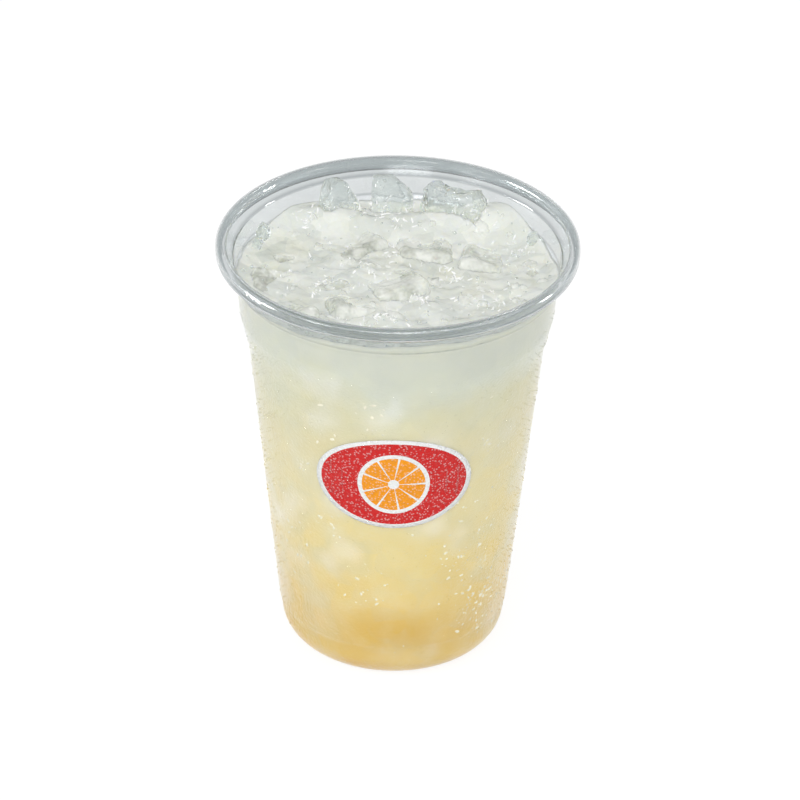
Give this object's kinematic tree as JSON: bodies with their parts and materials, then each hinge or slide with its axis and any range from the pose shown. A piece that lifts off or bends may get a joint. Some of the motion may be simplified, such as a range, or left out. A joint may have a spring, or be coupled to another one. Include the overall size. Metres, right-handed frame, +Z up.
{
  "type": "cup of iced lemonade",
  "caption": "Clear tapered cold-drink cup with a rolled rim, filled with cloudy pale yellow lemonade and ice; three pieces stand up against the back wall.",
  "frame": {"origin": "centre of the foot ring, on the surface the cup stands on", "axes": "+Z up along the cup's axis; +Y towards the side where the three proud pieces of ice lean; -Y towards the viewer"},
  "size_m": [0.098, 0.098, 0.122],
  "materials": {
    "cup_plastic": "clear thermoformed plastic, glossy",
    "lemonade": "cloudy pale yellow drink, wet",
    "ice": "wet melting ice"
  },
  "bodies": {
    "root": {"cup": "cup_plastic", "lemonade": "lemonade", "ice_01": "ice", "ice_02": "ice", "ice_03": "ice", "ice_04": "ice", "ice_05": "ice", "ice_06": "ice", "ice_07": "ice", "ice_08": "ice", "ice_09": "ice", "ice_10": "ice", "ice_11": "ice", "ice_12": "ice", "ice_13": "ice", "ice_14": "ice", "ice_15": "ice"}
  },
  "joints": []
}
